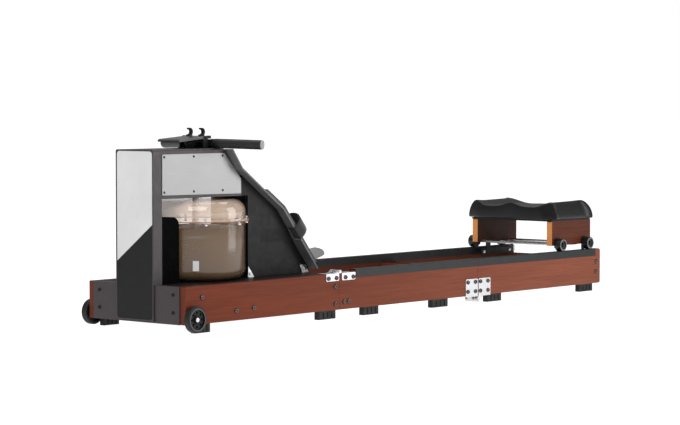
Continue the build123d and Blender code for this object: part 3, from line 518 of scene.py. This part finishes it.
def build_foot_straps():
    """The loop over each foot: from under the plate, round its edge and down to its middle."""
    joint = next(j for j in frame["record"]["behaviour"]["joints"] if j["name"] == "heel_slide_left")
    down = Vector(joint["axis"])
    out = Vector((-down.z, 0, down.x))
    low, high = edges_of("foot_straps")
    size, middle = high - low, (high + low) / 2
    run, fall = down.x, -down.z
    spread = run * run - fall * fall
    width = (run * size.x - fall * size.z) / spread
    height = (run * size.z - fall * size.x) / spread
    plate, thick = 5.4, 2.6
    rise, tuck, inner_y = 12.0, 26.0, 14.8
    edge_turn, dome_steps = 4, 28
    top = height - plate - thick
    base = middle - out * ((top - plate - thick) / 2)
    outer_y = high.y - thick / 2
    half = (outer_y - inner_y + thick / 2) / 2
    centre_y = outer_y - half
    under = -plate - thick / 2
    for side, sign in (("left", -1), ("right", 1)):
        def place(y, n):
            point = base + out * n
            return (point.x, sign * y, point.z)
        path = [place(outer_y - tuck + 5 * k, under) for k in range(5)]
        path += arc((outer_y - edge_turn, under + edge_turn), edge_turn, -80, 0, 4, place)
        path += [place(outer_y, under + edge_turn + (rise - under - edge_turn) * k / 3) for k in (1, 2)]
        dome = top - thick / 2 - rise
        for step in range(dome_steps + 1):
            angle = math.pi * step / dome_steps
            path.append(place(centre_y + half * math.cos(angle), rise + dome * math.sin(angle)))
        path += [place(centre_y - half, rise * share) for share in (0.66, 0.33, 0.06)]
        band(f"foot_loop_{side}", path, down, width, thick - 0.4, "front_frame", "webbing", ["foot_straps"])


build_foot_straps()


# ---------------------------------------------------------------- tank

def lathe(name, profile, centre, turns, body, slot_name, replaces=()):
    """A turned piece from (radius, z) points in millimetres, closed on its axis at both ends."""
    verts, faces = [], []
    inner = profile[1:-1]
    for radius, z in inner:
        for k in range(turns):
            angle = 2 * math.pi * k / turns
            verts.append((centre.x + radius * math.cos(angle), centre.y + radius * math.sin(angle), z))
    for row in range(len(inner) - 1):
        for k in range(turns):
            a, b = row * turns + k, row * turns + (k + 1) % turns
            faces.append((a, b, b + turns, a + turns))
    first, last = len(verts), len(verts) + 1
    verts += [(centre.x, centre.y, profile[0][1]), (centre.x, centre.y, profile[-1][1])]
    top = (len(inner) - 1) * turns
    for k in range(turns):
        faces.append((first, (k + 1) % turns, k))
        faces.append((last, top + k, top + (k + 1) % turns))
    return piece(name, verts, faces, body, slot_name, replaces)


WATER_TURNS = 96


def build_water():
    """The water as one full body, with its edge drawn up a little at the wall."""
    low, high = edges_of("tank_water")
    centre = (low + high) / 2
    wall_gap, floor_gap = 0.6, 0.4
    radius = (high.x - low.x) / 2 - wall_gap
    bottom, base, base_steps = low.z + floor_gap, 28.0, 8
    profile = [(0, bottom), (radius * 0.4, bottom), (radius - base, bottom)]
    for step in range(1, base_steps + 1):
        angle = math.radians(90 * step / base_steps)
        profile.append((radius - base + base * math.sin(angle), bottom + base * (1 - math.cos(angle))))
    profile += [(radius, high.z - 40), (radius, high.z)]
    profile += [(radius - 1.2, high.z - 1.4), (radius - 3.5, high.z - 2.4)]
    profile += [(radius * 0.8, high.z - 2.6), (radius * 0.4, high.z - 2.6), (0, high.z - 2.6)]
    lathe("tank_liquid", profile, centre, WATER_TURNS, "front_frame", "water", ["tank_water"])


def build_tank_label():
    """A blank sticker on the tank's wall."""
    low, high = edges_of("tank_lower_shell")
    shaft_low, shaft_high = edges_of("paddle_shaft")
    axis = (shaft_low + shaft_high) / 2
    flange, gap, thick = 10, 0.25, 0.35
    radius, facing, half_angle = axis.x - low.x - flange + gap, 224.3, 3.4
    bottom, top = low.z + 34, low.z + 64
    verts, faces = [], []
    steps = 10
    for offset in (0.0, thick):
        for z in (bottom, top):
            for k in range(steps + 1):
                angle = math.radians(facing - half_angle + 2 * half_angle * k / steps)
                verts.append((axis.x + (radius + offset) * math.cos(angle),
                              axis.y + (radius + offset) * math.sin(angle), z))
    row = steps + 1
    for k in range(steps):
        faces.append((k, k + 1, row + k + 1, row + k))
        faces.append((2 * row + k, 3 * row + k, 3 * row + k + 1, 2 * row + k + 1))
        faces.append((k, 2 * row + k, 2 * row + k + 1, k + 1))
        faces.append((row + k, row + k + 1, 3 * row + k + 1, 3 * row + k))
    faces.append((0, row, 3 * row, 2 * row))
    faces.append((steps, 2 * row + steps, 3 * row + steps, row + steps))
    piece("tank_label", verts, faces, "front_frame", "white_panel", smooth=False)


build_water()
build_tank_label()


# ---------------------------------------------------------------- light rings on the rollers and wheels

def build_ring(name, axis_node, inner, outer, y, thick, body, look):
    """A thin bevelled ring round an axle along Y, with its outer face at a distance of |y| + thick."""
    low, high = edges_of(axis_node)
    centre = (low + high) / 2
    turns, way = 64, math.copysign(1.0, y)
    bevel = thick * 0.5
    section = [(inner, y), (inner, y + way * (thick - bevel)), (inner + bevel, y + way * thick),
               (outer - bevel, y + way * thick), (outer, y + way * (thick - bevel)), (outer, y)]
    verts, faces = [], []
    for k in range(turns):
        angle = 2 * math.pi * k / turns
        for radius, at in section:
            verts.append((centre.x + radius * math.cos(angle), at, centre.z + radius * math.sin(angle)))
    count = len(section)
    for k in range(turns):
        for i in range(count):
            a, b = k * count + i, k * count + (i + 1) % count
            c, d = ((k + 1) % turns) * count + (i + 1) % count, ((k + 1) % turns) * count + i
            faces.append((a, b, c, d))
    piece(name, verts, faces, body, "roller_plastic", smooth=False, look=look)


def build_rings():
    """A pale rim on each roller and wheel, and a cap on each end of the seat's axles."""
    roller_ring, axle_cap, wheel_ring = (15.2, 19.2), (0.5, 7.6), (29.6, 32.6)
    for end in ("front", "rear"):
        rollers_low, rollers_high = edges_of(f"seat_rollers_{end}")
        for side, y in (("left", rollers_low.y), ("right", rollers_high.y)):
            build_ring(f"roller_ring_{end}_{side}", f"seat_axle_{end}", *roller_ring, y, 0.5,
                       f"seat_wheelset_{end}", "roller_rim")
            axle_y = math.copysign(edges_of(f"seat_axle_{end}")[1].y, y)
            build_ring(f"axle_cap_{end}_{side}", f"seat_axle_{end}", *axle_cap, axle_y, 0.6,
                       f"seat_wheelset_{end}", "black_plastic")
    for side in ("left", "right"):
        hub_low, hub_high = edges_of(f"wheel_hub_{side}")
        y = hub_low.y if side == "left" else hub_high.y
        build_ring(f"wheel_ring_{side}", f"wheel_hub_{side}", *wheel_ring, y, 0.4,
                   f"transport_wheel_{side}", "wheel_rim")


build_rings()


# ---------------------------------------------------------------- camera, light and floor

def look_at(obj, target):
    obj.rotation_euler = (Vector(target) - obj.location).to_track_quat("-Z", "Y").to_euler()


def add_camera():
    data = bpy.data.cameras.new("camera")
    data.lens, data.sensor_width = 127.46, 36.0
    camera = bpy.data.objects.new("camera", data)
    camera.location = (-6.0029, -5.000, 0.688)
    direction = Vector((0.76069, 0.64728, -0.04879))
    bpy.context.scene.collection.objects.link(camera)
    look_at(camera, camera.location + direction)
    bpy.context.scene.camera = camera


def add_light(name, place, target, size, power):
    data = bpy.data.lights.new(name, "AREA")
    data.shape, data.size, data.size_y, data.energy = "RECTANGLE", size[0], size[1], power
    light = bpy.data.objects.new(name, data)
    light.location = place
    bpy.context.scene.collection.objects.link(light)
    look_at(light, target)


def add_world():
    """White behind the object, and a dimmer, even surround for light and reflections."""
    world = bpy.data.worlds.new("studio")
    world.use_nodes = True
    bpy.context.scene.world = world
    tree = world.node_tree
    background = tree.nodes["Background"]
    path = tree.nodes.new("ShaderNodeLightPath")
    strength = tree.nodes.new("ShaderNodeMapRange")
    surround, backdrop = 0.3, 1.0
    strength.inputs["To Min"].default_value = surround
    strength.inputs["To Max"].default_value = backdrop
    tree.links.new(path.outputs["Is Camera Ray"], strength.inputs["Value"])
    tree.links.new(strength.outputs["Result"], background.inputs["Strength"])
    background.inputs["Color"].default_value = (1, 1, 1, 1)


def add_floor():
    """A pale floor, bright enough by itself to run into the white behind it."""
    reach = 40.0
    corners = [(-reach, -reach, 0), (reach, -reach, 0), (reach, reach, 0), (-reach, reach, 0)]
    mesh = bpy.data.meshes.new("floor")
    mesh.from_pydata(corners, [], [(0, 1, 2, 3)])
    floor = bpy.data.objects.new("floor", mesh)
    floor.location.z = -0.0005
    bpy.context.scene.collection.objects.link(floor)
    white = (1, 1, 1, 1)
    finish = Finish("pale_floor", (0.3, 0.3, 0.3, 1), 0.9, Emission_Color=white, Emission_Strength=1.0,
                    Specular_IOR_Level=0.05)
    finish.paint(finish.mix(finish.noise(3), (0.29, 0.29, 0.29, 1), (0.31, 0.31, 0.31, 1)))
    dress(floor, finish.material)


add_camera()
add_world()
add_floor()
add_light("key", (-2.6, -2.2, 3.0), (0, 0, 0.2), (2.6, 2.6), 75)
add_light("top", (0.4, 0.6, 3.4), (0.2, 0, 0.2), (3.6, 2.0), 60)
add_light("right", (1.7, -2.4, 0.9), (-0.6, 0, 0.3), (1.5, 2.4), 34)
bpy.context.scene.view_settings.view_transform = "Standard"
